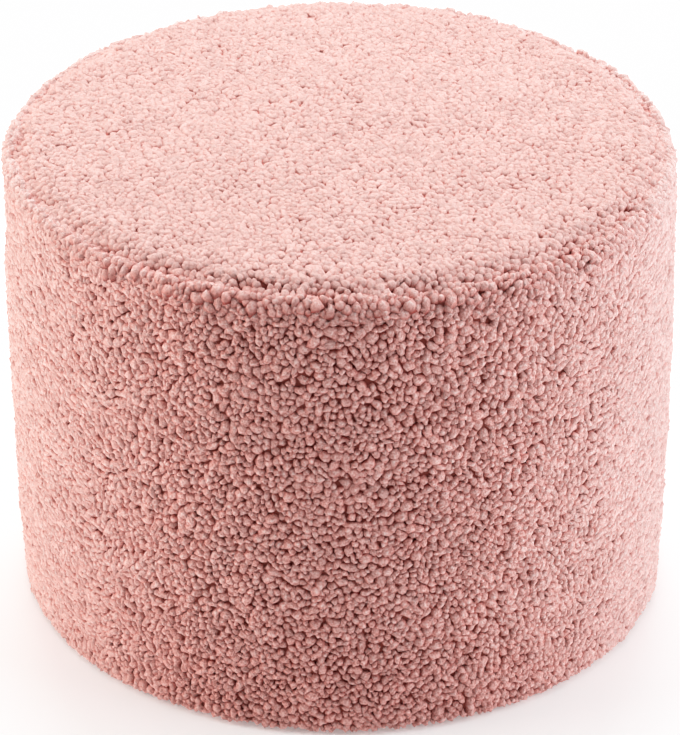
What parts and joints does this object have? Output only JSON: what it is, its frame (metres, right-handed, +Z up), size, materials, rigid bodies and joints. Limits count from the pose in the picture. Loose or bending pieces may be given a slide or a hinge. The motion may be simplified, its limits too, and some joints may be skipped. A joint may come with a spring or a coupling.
{
  "type": "plush pouf",
  "caption": "Low round pouf with a gently crowned top, nearly straight sides and a sunken rim seam, covered in short curly pile fabric.",
  "frame": {"origin": "middle of the underside, where the pouf stands on the floor", "axes": "+Z up through the crown, +Y towards the upright seam that closes the band at the back, +X to the right seen from the front"},
  "size_m": [0.3988, 0.4034, 0.3005],
  "materials": {
    "curly_pile": "pale pink plush of short tight curls, matt with a soft sheen",
    "base_cloth": "plain matt weave, a tone deeper than the pile"
  },
  "bodies": {
    "root": {"top_panel": "curly_pile", "side_band": "curly_pile", "base_panel": "base_cloth"}
  },
  "joints": []
}
